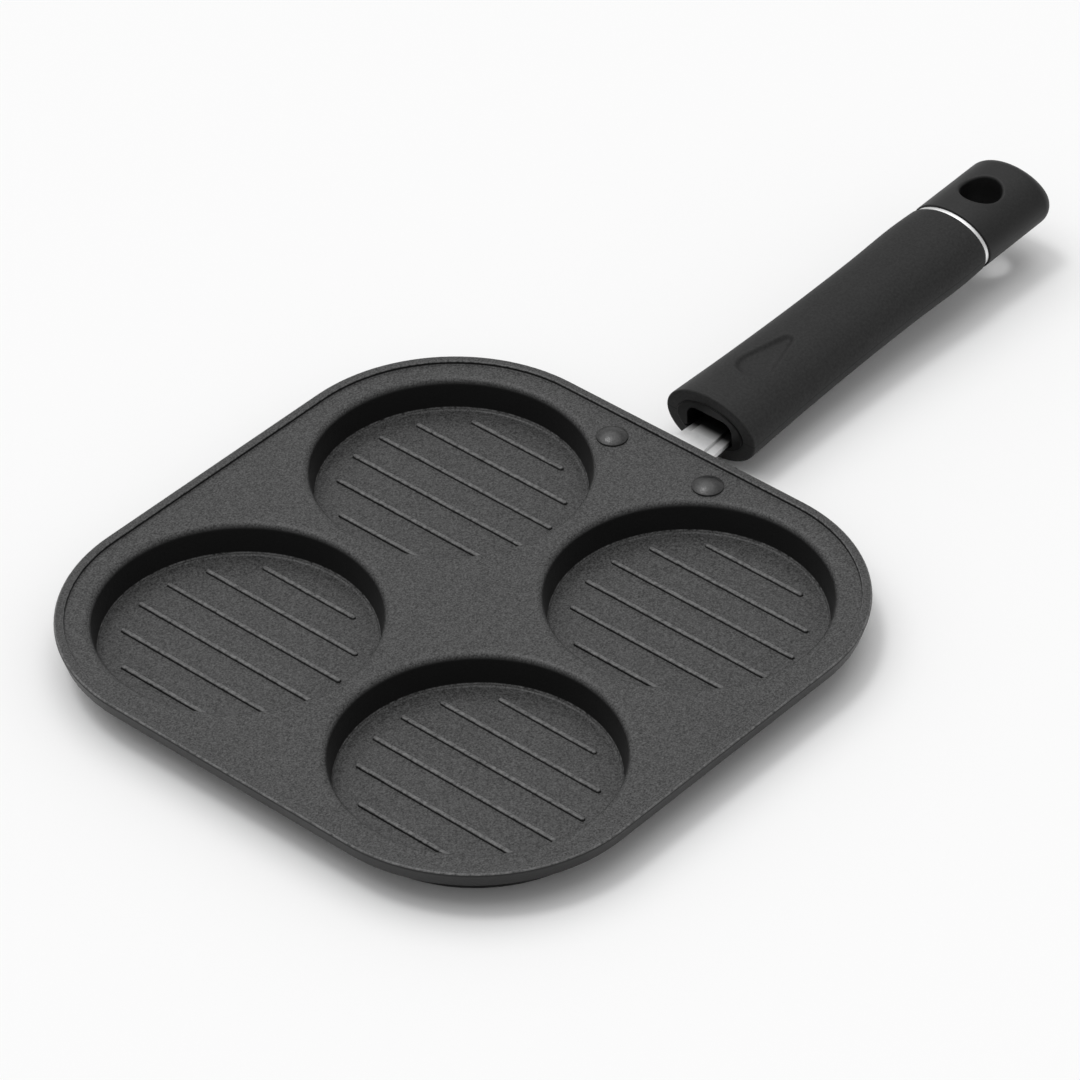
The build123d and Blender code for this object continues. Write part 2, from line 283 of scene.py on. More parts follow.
def cavity_shell():
    """The inside of a cavity, still open inside its floor's edge, and the cup round it."""
    inside = disc("cavity", cavity_radius + lip_round, deck_z)
    floor_edge = cavity_radius - (deck_z - floor_z) * draft
    mould(rounded([
        (cavity_radius + lip_round, deck_z, 0),
        (cavity_radius, deck_z, lip_round),
        (floor_edge, floor_z, floor_round),
        (floor_edge - floor_margin, floor_z, 0),
    ], parts=8))
    bpy.ops.mesh.delete(type="ONLY_FACE")
    leave()
    outside = disc("cup", cup_radius + cup_shoulder, under_z, facing=-1)
    foot = cup_radius - under_z * draft
    mould(rounded([
        (cup_radius + cup_shoulder, under_z, 0),
        (cup_radius, under_z, shoulder_round),
        (foot, 0, foot_round),
        (foot - foot_margin, 0, 0),
    ], parts=7), facing=-1)
    leave()
    return join(inside, outside)


cavity = cavity_shell()
print("cavity and cup:", len(cavity.data.polygons), "faces")

# %% [markdown]
# ## Ribs on the cavity floor
# Six low ribs run across each floor. They are cast with it, so they have a soft foot and a rounded
# top. One rib is a small disc whose two halves are pulled apart into a long oval, which is then
# moulded upwards. The ribs are shorter towards the sides, because their tips follow a circle.

# %% One rib
rib_reach = 38.2
rib_half, rib_height, rib_taper = 0.95, 0.9, 0.3
rib_foot, rib_foot_round = 0.25, 0.2
rib_top, rib_top_round = 0.1, 0.35
rib_vertices = 24


def rib(across):
    """One rib, at its distance from the middle of the cavity."""
    half_length = sqrt(rib_reach**2 - across**2) - rib_half
    base = rib_half + rib_foot
    clear()
    bpy.ops.mesh.primitive_circle_add(
        vertices=rib_vertices, radius=base * MM, fill_type="NGON",
        location=(across * MM, 0, floor_z * MM), rotation=(0, 0, radians(180 / rib_vertices)),
    )
    item = fresh("rib")
    settle()
    for side in (-1, 1):
        edit(item, "VERT")
        choose(item, "verts", lambda vert: vert.co.y * side > 0)
        bpy.ops.transform.translate(value=(0, side * half_length * MM, 0))
        leave()
    edit(item, whole=True)
    mould(rounded([
        (base, floor_z, 0),
        (rib_half, floor_z, rib_foot_round),
        (rib_half - rib_taper, floor_z + rib_height, rib_top_round),
        (rib_top, floor_z + rib_height, 0),
    ], parts=4))
    leave()
    return item


# %% [markdown]
# ## The floor between the ribs
# The floor is the flat between its own round edge and the six ovals of the ribs. Blender's fill
# closes all that lies between such loops in one go, when the open edges at that height are chosen.

# %% Six ribs and their floor
rib_count, rib_pitch = 6, 13.0
same_height = 1e-6


def close_loops(item, height):
    """Fills the flat between all open loops that lie at one height."""
    edit(item, "EDGE")
    choose(item, "edges", lambda edge: edge.is_boundary and all(
        abs(vert.co.z - height * MM) < same_height for vert in edge.verts
    ))
    bpy.ops.mesh.fill()
    leave()


ribs = [rib((index - (rib_count - 1) / 2) * rib_pitch) for index in range(rib_count)]
cavity = join(cavity, *ribs)
close_loops(cavity, floor_z)
print("one ribbed cavity:", len(cavity.data.polygons), "faces")

# %% [markdown]
# ## The plate's outline
# The plate is a rounded square with a low raised rim, and a skirt that leans inwards below it.
# Both start from the same outline, the widest line of the rim. It is a plane whose four corners
# are bevelled into large arcs.

# %% Outline
outline_half, outline_corner = 108.784, 59.184
corner_parts = 28
belt_z = 14.9


def outline(name, facing=1):
    """The plate's outline as a chosen flat face at the height of its widest line."""
    clear()
    bpy.ops.mesh.primitive_plane_add(size=2 * outline_half * MM, location=(0, 0, belt_z * MM))
    item = fresh(name)
    settle()
    edit(item, "VERT", whole=True)
    bpy.ops.mesh.bevel(
        offset=outline_corner * MM, segments=corner_parts, affect="VERTICES", clamp_overlap=False
    )
    bpy.ops.mesh.select_mode(type="FACE")
    bpy.ops.mesh.select_all(action="SELECT")
    if facing < 0:
        bpy.ops.mesh.flip_normals()
    return item


print("plate:", 2 * outline_half, "mm square, its corners rounded by", outline_corner, "mm")

# %% [markdown]
# ## Rim and skirt
# One copy of the outline is moulded up over the rim and down to the deck. The other goes down the
# skirt, across its narrow foot and up inside to the underside. Both are left open in the middle,
# where the cavities come.

# %% Rim
rim_z, rim_inner, deck_edge = 15.8, 105.6, 104.9
rim_round, rim_inner_round, deck_round = 0.9, 0.5, 0.4

casting = outline("casting")
mould(rounded([
    (outline_half, belt_z, 0),
    (outline_half, rim_z, rim_round),
    (rim_inner, rim_z, rim_inner_round),
    (rim_inner, deck_z, deck_round),
    (deck_edge, deck_z, 0),
]))
bpy.ops.mesh.delete(type="ONLY_FACE")
leave()
print("rim:", len(casting.data.polygons), "faces")

# %% Skirt
skirt_z, skirt_half, skirt_inner, under_edge = 10.0, 107.327, 104.727, 104.2
skirt_round, skirt_inner_round, under_round = 0.5, 0.4, 0.3
belt_inset, belt_drop = 0.04, 0.26

skirt = outline("skirt", facing=-1)
mould(rounded([
    (outline_half, belt_z, 0),
    (outline_half - belt_inset, belt_z - belt_drop, 0),
    (skirt_half, skirt_z, skirt_round),
    (skirt_inner, skirt_z, skirt_inner_round),
    (skirt_inner, under_z, under_round),
    (under_edge, under_z, 0),
]), facing=-1)
bpy.ops.mesh.delete(type="ONLY_FACE")
leave()
print("skirt:", len(skirt.data.polygons), "faces")

# %% [markdown]
# ## Four cavities in one casting
# The cavity is copied to its four places. The deck and the underside are then the flats between
# the outline and the four round openings, so the tool that closed the cavity's floor closes them.

# %% Deck and underside
pitch = 101.0

places = [(x * pitch / 2, y * pitch / 2) for x in (-1, 1) for y in (-1, 1)]
cavities = [
    copy_of(cavity, f"cavity_{number}", (x * MM, y * MM, 0))
    for number, (x, y) in enumerate(places)
]
bpy.data.objects.remove(cavity)
casting = join(casting, skirt, *cavities)
close_loops(casting, deck_z)
close_loops(casting, under_z)
weld(casting)
print("casting:", len(casting.data.polygons), "faces,", open_edges(casting), "open edges")

# %% [markdown]
# ## The notch for the handle's tongue
# The handle's steel tongue leaves the pan through a notch in the skirt. A small box with softened
# edges is the cutting tool. The casting, which was made round the origin, is then moved to the
# measured pan's centre.

# %% Notch
notch_x, notch_z = 109.5, 10.02
notch_size = (11, 18.1, 3.8)
notch_round = 0.5

clear()
bpy.ops.mesh.primitive_cube_add(size=1, location=(notch_x * MM, 0, notch_z * MM))
notch = fresh("notch")
notch.scale = [length * MM for length in notch_size]
take(notch)
settle()
apply(notch, "BEVEL", width=notch_round * MM, segments=3)
cut(casting, notch)
take(casting)
bpy.ops.transform.translate(value=(pan_x, 0, 0))
settle()
smooth(casting, angle=40)

# %% [markdown]
# ## Turned and oval pieces, ring by ring
# A rivet is a turned pin, and the grip and its ring are oval tubes. All are shaped ring by ring: a
# circle is extruded along its axis, and each new ring is resized.

# %% Ring by ring
def ringed(name, sections, vertices, filled=True):
    """A skin along z through rings, each given as (station, half height, half width)."""
    clear()
    station, half_height, half_width = sections[0]
    bpy.ops.mesh.primitive_circle_add(
        vertices=vertices, radius=1, fill_type="NGON" if filled else "NOTHING",
        location=(0, 0, station * MM),
    )
    item = fresh(name)
    item.scale = (half_height * MM, half_width * MM, 1)
    settle()
    edit(item, "FACE" if filled else "EDGE", whole=True)
    for before, after in zip(sections, sections[1:]):
        rise = (0, 0, (after[0] - before[0]) * MM)
        bpy.ops.mesh.extrude_region_move(TRANSFORM_OT_translate={"value": rise})
        growth = (after[1] / before[1], after[2] / before[2], 1)
        bpy.ops.transform.resize(value=growth, center_override=(0, 0, after[0] * MM))
    leave()
    weld(item)
    return item


# %% [markdown]
# ## Rivets
# A rivet has a low dome on the deck, a shank through deck and bracket, and a tail that was formed
# below. The dome is an arc that starts at a short upright edge and ends just beside the axis.

# %% Rivets
rivet_x, rivet_apart = 96.0, 20.32
head_radius, head_edge, head_edge_round, head_rise = 5.3, 0.5, 0.25, 1.8
tail_radius, tail_low, tail_high, tail_round = 4.0, 8.8, 10.3, 0.75
shank_radius = 2.4
tail_flat = 1.0
dome_start, dome_step, dome_steps = 34, 3, 12

dome_radius = (head_radius**2 + head_rise**2) / (2 * head_rise)
dome_centre = deck_z + head_edge + head_rise - dome_radius
dome_turns = [radians(dome_start - dome_step * step) for step in range(dome_steps)]
dome = [
    Vector((dome_radius * sin(turn), dome_centre + dome_radius * cos(turn))) for turn in dome_turns
]
pin = rounded([
    (tail_flat, tail_low, 0),
    (tail_radius, tail_low, tail_round),
    (tail_radius, tail_high, 0),
    (shank_radius, tail_high, 0),
    (shank_radius, deck_z, 0),
    (head_radius, deck_z, 0),
    (head_radius, deck_z + head_edge, head_edge_round),
    (dome[0].x, dome[0].y, 0),
]) + dome[1:]
rivet = ringed("rivet", [(point.y, point.x, point.x) for point in pin], vertices=64)
smooth(rivet, angle=40)
rivet_pair = [
    copy_of(rivet, name, (pan_x + rivet_x * MM, side * rivet_apart * MM, 0))
    for name, side in (("rivet_a", 1), ("rivet_b", -1))
]
bpy.data.objects.remove(rivet)

# %% [markdown]
# ## Pieces from their measured shapes
# The steel bracket is folded sheet, and the handle's core is a hard moulding. Their measured
# meshes are fine already, but they are loose triangles, so a copy is merged first. The bracket's
# sharp edges then get a tiny bevel, as real edges never are quite sharp, and they catch a thin
# line of light. The handle's end cap comes the same way further down.

# %% Bracket and core
bracket_edge = 0.15
flat_angle = 1


def measured_copy(node, name, edge=0):
    """A merged copy of a measured part, with its flats whole again and its edges bevelled."""
    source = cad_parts[node]
    item = bpy.data.objects.new(name, source.data.copy())
    bpy.context.scene.collection.objects.link(item)
    item.matrix_world = source.matrix_world.copy()
    take(item)
    settle()
    item.data.name = name
    weld(item)
    edit(item, whole=True)
    bpy.ops.mesh.dissolve_limited(angle_limit=radians(flat_angle))
    leave()
    if edge:
        apply(item, "BEVEL", width=edge * MM, segments=2, limit_method="ANGLE",
              angle_limit=radians(sharp_angle))
    smooth(item)
    return item


bracket = measured_copy("handle_bracket", "bracket", bracket_edge)
core = measured_copy("handle_core", "core")

# %% [markdown]
# ## The handle's own direction
# The handle rises at 2.6 degrees from the pan. Its pieces are shaped upright around the origin,
# with the station along the handle as height, and are then turned and set in place. In that
# upright frame minus x is up on the handle, and y is its width.

# %% Seat on the handle's axis
face_x = 31.9913
axis_z = 14.1
tilt = 2.6


def seat(item):
    """Turns an upright piece into the handle's direction and sets it in place."""
    take(item)
    item.rotation_euler = (0, radians(90 - tilt), 0)
    item.location = (face_x * MM, 0, axis_z * MM)
    settle()


print("the handle starts at x =", face_x, "mm and rises at", tilt, "degrees")

# %% [markdown]
# ## The grip
# The grip is a soft skin, waisted in the middle for the fingers. Its half height and half width are
# measured at six stations, and a smooth curve gives them in between. The tube's outside runs to the
# back end, its inside back to the front. Its rings lie closest where the thumb dent comes.

# %% Widths along the grip
grip_table = [
    (0, 12.1, 18.7), (28, 11.6, 17.5), (62, 11.3, 16.7),
    (91.8, 11.3, 16.7), (114.8, 11.5, 17.25), (126.8, 11.2, 16.8),
]


def between(table, station, column):
    """A smooth curve through one column of a table, as a spline ruler would draw it."""
    slopes = [(b[column] - a[column]) / (b[0] - a[0]) for a, b in zip(table, table[1:])]
    middles = [(a + b) / 2 for a, b in zip(slopes, slopes[1:])]
    knots = [slopes[0]] + middles + [slopes[-1]]
    for index, (a, b) in enumerate(zip(table, table[1:])):
        if station <= b[0] or b is table[-1]:
            run = b[0] - a[0]
            t = (station - a[0]) / run
            start = (2 * t**3 - 3 * t**2 + 1) * a[column]
            start += (t**3 - 2 * t**2 + t) * run * knots[index]
            end = (3 * t**2 - 2 * t**3) * b[column]
            end += (t**3 - t**2) * run * knots[index + 1]
            return start + end


def grip_ring(station, high_inset=0, wide_inset=0):
    """A ring of the grip, as (station, half height, half width), less its insets."""
    half_height = between(grip_table, station, 1) - high_inset
    half_width = between(grip_table, station, 2) - wide_inset
    return (station, half_height, half_width)


print("half the grip's width at 50 mm is", round(between(grip_table, 50, 2), 2), "mm")

# %% Grip
grip_length = grip_table[-1][0]
front_round, back_round = 0.7, 1.4
bore_high_inset, bore_wide_inset, bore_steps = 3.9, 4.8, 16


def spaced(first, gap, count):
    return [first + gap * step for step in range(count)]


stations = spaced(2, 2, 7) + spaced(16, 0.5, 60) + spaced(46, 1.8, 44)
outer = [grip_ring(away, inset, inset) for away, inset in quarter(front_round)]
outer += [grip_ring(station) for station in stations]
outer += [
    grip_ring(grip_length - away, inset, inset) for away, inset in reversed(quarter(back_round))
]
inner = [
    grip_ring(grip_length * (1 - step / bore_steps), bore_high_inset, bore_wide_inset)
    for step in range(bore_steps + 1)
]
grip = ringed("grip", outer + inner + outer[:1], vertices=192, filled=False)
print("grip rings:", len(outer + inner))

# %% [markdown]
# ## The thumb dent
# On the real grip the dent is part of the mould: a scoop in the shape of a drop, with a soft but
# clear edge. Each point inside it gets a weight for how deep it lies in the scoop. Nearly half of
# the depth comes within the narrow edge, the rest along the scoop. A Displace modifier pushes the
# points down by their weights.

# %% Shape of the drop
drop_station, drop_length = 23.7, 16.5
drop_wide, drop_tip = 6.3, 2.0


def drop_distance(along, across):
    """Distance from the drop's outline, negative inside it."""
    lean = (drop_wide - drop_tip) / drop_length
    flank = sqrt(1 - lean**2)
    x, y = abs(across), along - drop_station
    reach = flank * y - lean * x
    if reach < 0:
        return sqrt(x * x + y * y) - drop_wide
    if reach > flank * drop_length:
        return sqrt(x * x + (y - drop_length) ** 2) - drop_tip
    return flank * x + lean * y - drop_wide


print("the middle of the drop lies", round(-drop_distance(drop_station, 0), 2), "mm inside")

# %% Thumb dent
dent_depth = 2.0
dent_edge_share, dent_edge_width = 0.45, 1.6
dent_scoop_width = 5.5
dent_flare = 0.6
dent_top, dent_first, dent_last = 8.2, 14, 46

dent = grip.vertex_groups.new(name="dent")
dented = 0
for vert in grip.data.vertices:
    up, across, along = -vert.co.x / MM, vert.co.y / MM, vert.co.z / MM
    if up > dent_top and dent_first < along < dent_last:
        inside = dent_flare - drop_distance(along, across)
        if inside > 0:
            edge = min(1, inside / dent_edge_width)
            edge *= edge * (3 - 2 * edge)
            scoop = min(1, inside / dent_scoop_width)
            weight = dent_edge_share * edge + (1 - dent_edge_share) * scoop * (2 - scoop)
            dent.add([vert.index], weight, "REPLACE")
            dented += 1
apply(grip, "DISPLACE", strength=dent_depth * MM, direction="X", mid_level=0,
      vertex_group="dent")
grip.vertex_groups.clear()
print("points in the dent:", dented)
seat(grip)
smooth(grip, angle=50)

# %% [markdown]
# ## The trim ring
# Between grip and end cap sits a thin bright ring with slightly broken edges, pressed from sheet.
# It is one more oval skin through rings: out over the edges, and back through the bore.

# %% Trim ring
ring_front, ring_back = 126.9, 128.5
ring_high, ring_wide, ring_edge = 10.7, 16.1, 0.3
bore_high, bore_wide = 7.02, 11.32

broken = quarter(ring_edge, steps=3)
ring_sections = [
    (ring_front + away, ring_high - inset, ring_wide - inset) for away, inset in broken
]
ring_sections += [
    (ring_back - away, ring_high - inset, ring_wide - inset) for away, inset in reversed(broken)
]
ring_sections += [(ring_back, bore_high, bore_wide), (ring_front, bore_high, bore_wide)]
ring_sections.append(ring_sections[0])
ring = ringed("ring", ring_sections, vertices=128, filled=False)
seat(ring)
smooth(ring, angle=50)

# %% [markdown]
# ## The end cap
# The cap closes the handle behind the ring. Its domed end and its hang hole are fine enough in the
# measured part, so it is one more merged copy.

# %% End cap
cap = measured_copy("end_cap", "cap")

# %% [markdown]
# ## Finishes: shared effects
# Effects that several finishes need are node groups. The first kind gives a mask from a noise,
# once as fine speckle and once as slow clouds. It reads Object coordinates in metres, so the grain
# keeps its size.

# %% Noise masks
noise_roughness = 0.65


def new_group(name, *sockets):
    """An empty node group with (name, kind) inputs and one output called Mask."""
    group = bpy.data.node_groups.new(name, "ShaderNodeTree")
    for socket, kind in sockets:
        group.interface.new_socket(socket, in_out="INPUT", socket_type="NodeSocket" + kind)
    group.interface.new_socket("Mask", in_out="OUTPUT", socket_type="NodeSocketFloat")
    given = group.nodes.new("NodeGroupInput").outputs
    result = group.nodes.new("NodeGroupOutput").inputs
    return group, given, result


def noise_mask(name, detail, low, high):
    """A mask that rises from 0 to 1 where a noise rises from low to high."""
    group, given, result = new_group(name, ("Place", "Vector"), ("Grain", "Float"))
    noise = group.nodes.new("ShaderNodeTexNoise")
    noise.inputs["Detail"].default_value = detail
    noise.inputs["Roughness"].default_value = noise_roughness
    ramp = group.nodes.new("ShaderNodeMapRange")
    ramp.inputs["From Min"].default_value = low
    ramp.inputs["From Max"].default_value = high
    group.links.new(given["Place"], noise.inputs["Vector"])
    group.links.new(given["Grain"], noise.inputs["Scale"])
    group.links.new(noise.outputs["Fac"], ramp.inputs["Value"])
    group.links.new(ramp.outputs["Result"], result["Mask"])
    return group


speckle = noise_mask("speckle", detail=2.0, low=0.3, high=0.74)
clouds = noise_mask("clouds", detail=3.0, low=0.3, high=0.7)
print("noise masks:", speckle.name, "and", clouds.name)

# %% [markdown]
# ## Finishes: painted shading
# This mask paints shading into a finish's colour: a face is paler the more it looks up, and a steep
# face is left dark, as painted shade. It takes the height of the face's normal.

# %% Painted shading
painted_shading_low, painted_shading_high = 0.3, 0.75

# Painted shading: this mask pales level faces and leaves steep faces dark.
painted_shading_mask, given, result = new_group("level faces", ("Normal", "Vector"))
parts = painted_shading_mask.nodes.new("ShaderNodeSeparateXYZ")
ramp = painted_shading_mask.nodes.new("ShaderNodeMapRange")
ramp.inputs["From Min"].default_value = painted_shading_low
ramp.inputs["From Max"].default_value = painted_shading_high
painted_shading_mask.links.new(given["Normal"], parts.inputs["Vector"])
painted_shading_mask.links.new(parts.outputs["Z"], ramp.inputs["Value"])
painted_shading_mask.links.new(ramp.outputs["Result"], result["Mask"])
print("a coated face starts to shine when its normal rises above", painted_shading_low)

# %% [markdown]
# ## Finishes: the mould's seam
# A moulded handle shows a hair line at half its height, where the halves of the mould met. The
# mask compares each point's height above the handle's own middle plane, which leans with it.

# %% Mould seam
seam_half_width = 0.14

handle_up = Vector((-sin(radians(tilt)), 0, cos(radians(tilt))))
seam_height = handle_up.dot(Vector((face_x, 0, axis_z))) * MM
mould_seam, given, result = new_group("mould seam", ("Place", "Vector"))
height = mould_seam.nodes.new("ShaderNodeVectorMath")
height.operation = "DOT_PRODUCT"
height.inputs[1].default_value = handle_up
near = mould_seam.nodes.new("ShaderNodeMath")
near.operation = "COMPARE"
near.inputs[1].default_value = seam_height
near.inputs[2].default_value = seam_half_width * MM
mould_seam.links.new(given["Place"], height.inputs[0])
mould_seam.links.new(height.outputs["Value"], near.inputs[0])
mould_seam.links.new(near.outputs["Value"], result["Mask"])
print("the seam lies", round(seam_height / MM, 2), "mm up the handle's own axis of height")

# %% [markdown]
# ## Finishes: small node tools
# These place a group, a sum or a mix in a material. Each takes plain numbers or the outputs of
# other nodes, and gives its own output back, so that a finish reads like a sentence.

# %% Node tools
def feed(tree, value, socket):
    """Links an output to a socket, or writes a plain number on it."""
    if isinstance(value, (int, float)):
        socket.default_value = value
    else:
        tree.links.new(value, socket)


def mask(tree, group, **inputs):
    """Places an effect group and gives its mask."""
    node = tree.nodes.new("ShaderNodeGroup")
    node.node_tree = group
    for name, value in inputs.items():
        feed(tree, value, node.inputs[name])
    return node.outputs["Mask"]


def maths(tree, operation, *values):
    node = tree.nodes.new("ShaderNodeMath")
    node.operation = operation
    for socket, value in zip(node.inputs, values):
        feed(tree, value, socket)
    return node.outputs["Value"]


def ramp_between(tree, value, low, high):
    """Rises from 0 to 1 while a value rises from low to high."""
    node = tree.nodes.new("ShaderNodeMapRange")
    feed(tree, value, node.inputs["Value"])
    node.inputs["From Min"].default_value = low
    node.inputs["From Max"].default_value = high
    return node.outputs["Result"]


def blend(tree, factor, first, second):
    """A colour between two others, where a plain number stands for a grey."""
    node = tree.nodes.new("ShaderNodeMix")
    node.data_type = "RGBA"
    feed(tree, factor, node.inputs["Factor"])
    for name, colour in (("A", first), ("B", second)):
        if isinstance(colour, float):
            colour = (colour, colour, colour, 1)
            node.inputs[name].default_value = colour
        else:
            tree.links.new(colour, node.inputs[name])
    return node.outputs["Result"]


# %% [markdown]
# ## Finishes: one recipe
# Each finish is a Principled shader. The recipe mixes two greys by the speckle, lets the roughness
# wander a little with the clouds, and lets the speckle lift the surface by a few hundredths of a
# millimetre. On the cast pan, broken pale lines at the height of its rim's edges and of its ribs'
# tops are painted highlights, standing in for glints on those rounded edges. The steel tongue gets
# painted shade where it enters the dark mouth of the handle.

# %% Finish recipe
# The finer grain and the first gain are for painted highlights; the last factor darkens painted
# shade.
cloud_grain, glint_grain = 18, 700
painted_glint_gain, seam_shade, mouth_shade = 1.7, 0.4, 0.06
bump_strength = 0.6


def tint(tree, place, fine, dark, light, painted_shading, painted_glints, seam, shaded):
    """The colour of a finish, built up from its speckle to its painted highlights and painted
    shade.
    """
    shine = fine
    # Painted shading: a steep face keeps only the dark grey, a level face shows the pale speckle.
    if painted_shading:
        facing = tree.nodes.new("ShaderNodeNewGeometry").outputs["Normal"]
        shine = maths(tree, "MULTIPLY", fine, mask(tree, painted_shading_mask, Normal=facing))
    colour = blend(tree, shine, dark, light)
    if painted_glints or shaded:
        parts = tree.nodes.new("ShaderNodeSeparateXYZ")
        tree.links.new(place, parts.inputs["Vector"])
    # Painted highlights: thin pale lines at given heights, broken up by fine speckle, stand in for
    # glints.
    if painted_glints:
        edges = [maths(tree, "COMPARE", parts.outputs["Z"], z * MM, w * MM) for z, w in painted_glints]
        flecks = mask(tree, speckle, Place=place, Grain=glint_grain)
        glint_mask = maths(tree, "MULTIPLY", maths(tree, "MAXIMUM", *edges), flecks)
        colour = blend(tree, glint_mask, colour, light * painted_glint_gain)
    if seam:
        colour = blend(tree, mask(tree, mould_seam, Place=place), colour, dark * seam_shade)
    # Painted shade: the colour darkens between two stations along x, into the handle's mouth.
    if shaded:
        start, end = shaded
        inward = ramp_between(tree, parts.outputs["X"], start * MM, end * MM)
        colour = blend(tree, inward, colour, dark * mouth_shade)
    return colour


def finish(name, dark, light, rough, spread=0.06, metal=0.0, grain=1400, lift=0.0, gloss=0.5,
           painted_shading=False, painted_glints=(), seam=False, shaded=()):
    """A material from the recipe; painted highlights are (height, half width), painted shade two
    stations.
    """
    material = bpy.data.materials.new(name)
    material.use_nodes = True
    tree = material.node_tree
    shader = tree.nodes["Principled BSDF"].inputs
    shader["Metallic"].default_value = metal
    shader["Specular IOR Level"].default_value = gloss
    place = tree.nodes.new("ShaderNodeTexCoord").outputs["Object"]
    fine = mask(tree, speckle, Place=place, Grain=grain)
    colour = tint(tree, place, fine, dark, light, painted_shading, painted_glints, seam, shaded)
    tree.links.new(colour, shader["Base Color"])
    if spread:
        wander = tree.nodes.new("ShaderNodeMapRange")
        wander.inputs["To Min"].default_value = rough - spread
        wander.inputs["To Max"].default_value = rough + spread
        slow = mask(tree, clouds, Place=place, Grain=cloud_grain)
        tree.links.new(slow, wander.inputs["Value"])
        tree.links.new(wander.outputs["Result"], shader["Roughness"])
    else:
        shader["Roughness"].default_value = rough
    if lift:
        bump = tree.nodes.new("ShaderNodeBump")
        bump.inputs["Distance"].default_value = lift * MM
        bump.inputs["Strength"].default_value = bump_strength
        tree.links.new(fine, bump.inputs["Height"])
        tree.links.new(bump.outputs["Normal"], shader["Normal"])
    print(name + ": greys", dark, "to", light, "and roughness about", rough)
    return material


# %% [markdown]
# ## The pan's coating and rivets
# The pan is sprayed with a dark non-stick coating that holds fine pale flakes. Its steep walls and
# skirt are painted darker than its level faces, as painted shade. The rivets are coated too, but
# smoother and glossier, and painted nearly black at the sides of their domes, as painted shade.

# %% Coating and rivet skin
# Painted highlights along the ribs' tops and the rim's edges; painted shading on steep faces.
rib_painted_glint = (floor_z + 0.8, 0.25)
rim_painted_glint = (rim_z - 0.25, 0.2)

coating = finish(
    "non-stick coating", dark=0.006, light=0.105, rough=0.42, grain=1700, lift=0.04, gloss=0.32,
    painted_shading=True, painted_glints=(rib_painted_glint, rim_painted_glint),
)
# Painted shading leaves the sides of the rivets' domes nearly black.
rivet_skin = finish(
    "coated rivet", dark=0.003, light=0.035, rough=0.3, grain=1500, lift=0.05, gloss=0.7,
    painted_shading=True,
)

# %% [markdown]
# ## Metals
# The bracket is bright, slightly rough steel. Its tongue is painted darker over a few millimetres,
# as painted shade where the handle's mouth keeps the light away. The trim ring is the same steel a
# little smoother, and the screw, bush and washers inside the handle are plated with zinc.

# %% Steel and zinc
mouth_start, mouth_end = face_x - 3.5, face_x + 1

steel = finish("bright steel", dark=0.86, light=0.93, rough=0.45, metal=1.0, grain=600)
# Painted shade on the tongue towards the handle's mouth.
tongue_steel = finish(
    "bright steel, painted_shade inside", dark=0.9, light=0.96, rough=0.5, metal=1.0, grain=600,
    shaded=(mouth_start, mouth_end),
)
zinc = finish("zinc-plated steel", dark=0.5, light=0.6, rough=0.35, metal=1.0, grain=800)

# %% [markdown]
# ## The handle's plastics
# The core is hard and almost black. The skin over it is soft to the touch and matte, so it is the
# palest of the three. The cap has a satin face, with painted shade on its steeper faces. All three
# come out of moulds and show the seam.

# %% Plastics
hard_plastic = finish(
    "hard black plastic", dark=0.003, light=0.005, rough=0.45, gloss=0.15, seam=True
)
soft_skin = finish(
    "soft-touch skin", dark=0.017, light=0.029, rough=0.6, grain=1100, lift=0.02, gloss=0.2,
    seam=True,
)
# Painted shading on the cap's steep faces.
cap_plastic = finish(
    "satin black plastic", dark=0.006, light=0.014, rough=0.5, grain=1200, lift=0.01, gloss=0.35,
    painted_shading=True, seam=True,
)

# %% [markdown]
# ## Dressing the measured parts
# Each finished piece stands in for its measured part: it rides on the root body, replaces the part
# in the picture, and gets its finish.

# %% Dress
def dress(item, node, material):
    """Stands a finished piece in for its measured part, with its finish."""
    item.data.materials.clear()
    item.data.materials.append(material)
    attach(item, "root")
    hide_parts(node)
    print(item.name, "stands in for", node)


dress(casting, "pan_body", coating)
dress(rivet_pair[0], "rivet_left", rivet_skin)
dress(rivet_pair[1], "rivet_right", rivet_skin)
dress(bracket, "handle_bracket", tongue_steel)
dress(core, "handle_core", hard_plastic)
dress(grip, "grip_sleeve", soft_skin)
dress(ring, "trim_ring", steel)
dress(cap, "end_cap", cap_plastic)

# %% [markdown]
# ## Parts that stay as measured
# The bush, the screw and its washers sit inside the handle. They keep their measured shapes and
# only get a finish.

# %% Inner fasteners
fasteners = ("threaded_bush", "tie_screw", "plain_washer", "lock_washer")

for node in fasteners:
    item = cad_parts[node]
    item.data.materials.clear()
    item.data.materials.append(zinc)
print("zinc-plated:", *fasteners)

# %% [markdown]
# ## Studio floor
# The pan lies on a pale sweep, nearly white and without gloss. The sweep is set a tenth of a
# millimetre lower than the cups, so that the two surfaces don't fight for the same place.

# %% Floor
floor_size = 6
floor_drop = 0.1

paper = finish("pale sweep", dark=0.945, light=0.95, rough=0.9, spread=0, gloss=0.0)
clear()
bpy.ops.mesh.primitive_plane_add(size=floor_size, location=(0, 0, -floor_drop * MM))
floor = fresh("floor")
floor.data.materials.append(paper)

# %% [markdown]
# ## Studio light
# Product pictures use large soft lights. The world gives the even part of the light, one wide sun
# gives it a direction, and a smaller one gives the rivets and lips their highlights. The camera
# sees the world as white past the floor's edge, but the world lights the pan at half that strength.

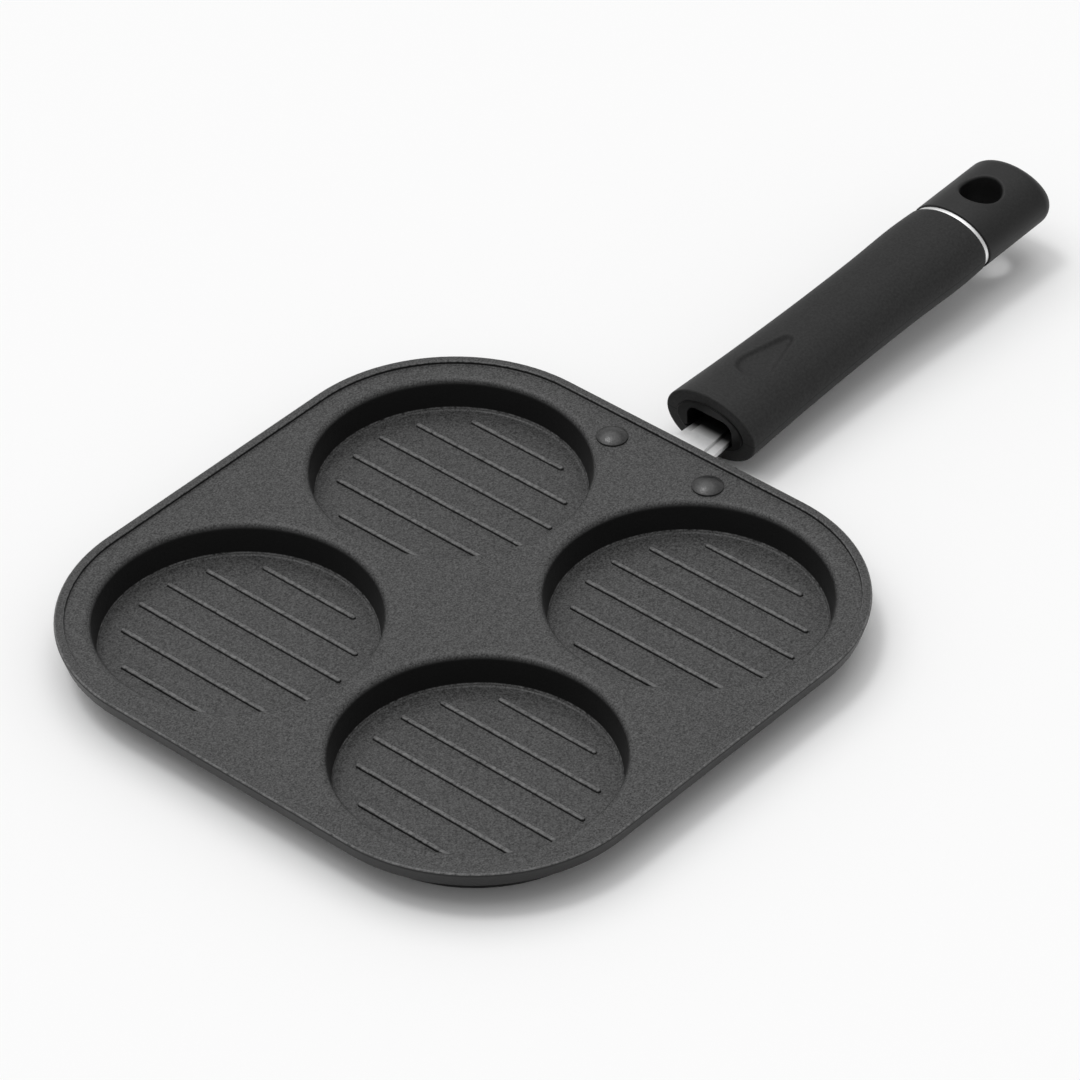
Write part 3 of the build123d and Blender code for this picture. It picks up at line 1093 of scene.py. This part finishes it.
# %% Lamps and world
def lamp(name, width, energy, direction):
    """A sun of this angular width that shines from a direction."""
    clear()
    bpy.ops.object.light_add(type="SUN", location=(0, 0, 1))
    item = bpy.context.active_object
    item.name = name
    item.data.angle = radians(width)
    item.data.energy = energy
    item.rotation_euler = Vector(direction).to_track_quat("Z", "Y").to_euler()
    print(name + ":", width, "degrees wide, strength", energy)


lamp("wide sun", 75, 1.22, (0.05, 0.3, 1))
lamp("small overhead lamp", 14, 0.5, (-0.1, 0.3, 1))

world_light, world_seen = 0.5, 1.0
world = bpy.data.worlds.new("studio")
bpy.context.scene.world = world
world.use_nodes = True
sky = world.node_tree
background = sky.nodes["Background"].inputs
background["Color"].default_value = (1, 1, 1, 1)
path = sky.nodes.new("ShaderNodeLightPath")
strength = sky.nodes.new("ShaderNodeMapRange")
strength.inputs["To Min"].default_value = world_light
strength.inputs["To Max"].default_value = world_seen
sky.links.new(path.outputs["Is Camera Ray"], strength.inputs["Value"])
sky.links.new(strength.outputs["Result"], background["Strength"])
bpy.context.scene.view_settings.view_transform = "Standard"

# %% [markdown]
# ## Camera
# The camera's direction, distance and lens follow from the perspective of the square plate and
# the handle in the reference picture. It is far away with a long lens, as is usual for catalogue
# pictures, so edges stay nearly parallel. The angles are in radians: its turn round the pan, its
# rise above the floor and its roll about its own axis.

# %% Camera
turn, rise, roll = -2.4173, 0.6752, -0.0123
distance = 1.85189
aim_ahead, aim_aside = 0.039964, 0.002881
sensor_width, lens = 36, 192.87

target = Vector((pan_x + aim_ahead, aim_aside, deck_z * MM))
back = Vector((cos(turn) * cos(rise), sin(turn) * cos(rise), sin(rise)))
right = (-back).cross(Vector((0, 0, 1))).normalized()
up = right.cross(-back)
side = cos(roll) * right + sin(roll) * up
top = cos(roll) * up - sin(roll) * right
clear()
bpy.ops.object.camera_add(location=target + back * distance)
camera = bpy.context.active_object
camera.name = "catalogue camera"
camera.rotation_euler = Matrix((side, top, back)).transposed().to_euler()
camera.data.sensor_width = sensor_width
camera.data.lens = lens
bpy.context.scene.camera = camera
print("camera at", [round(value, 3) for value in camera.location])
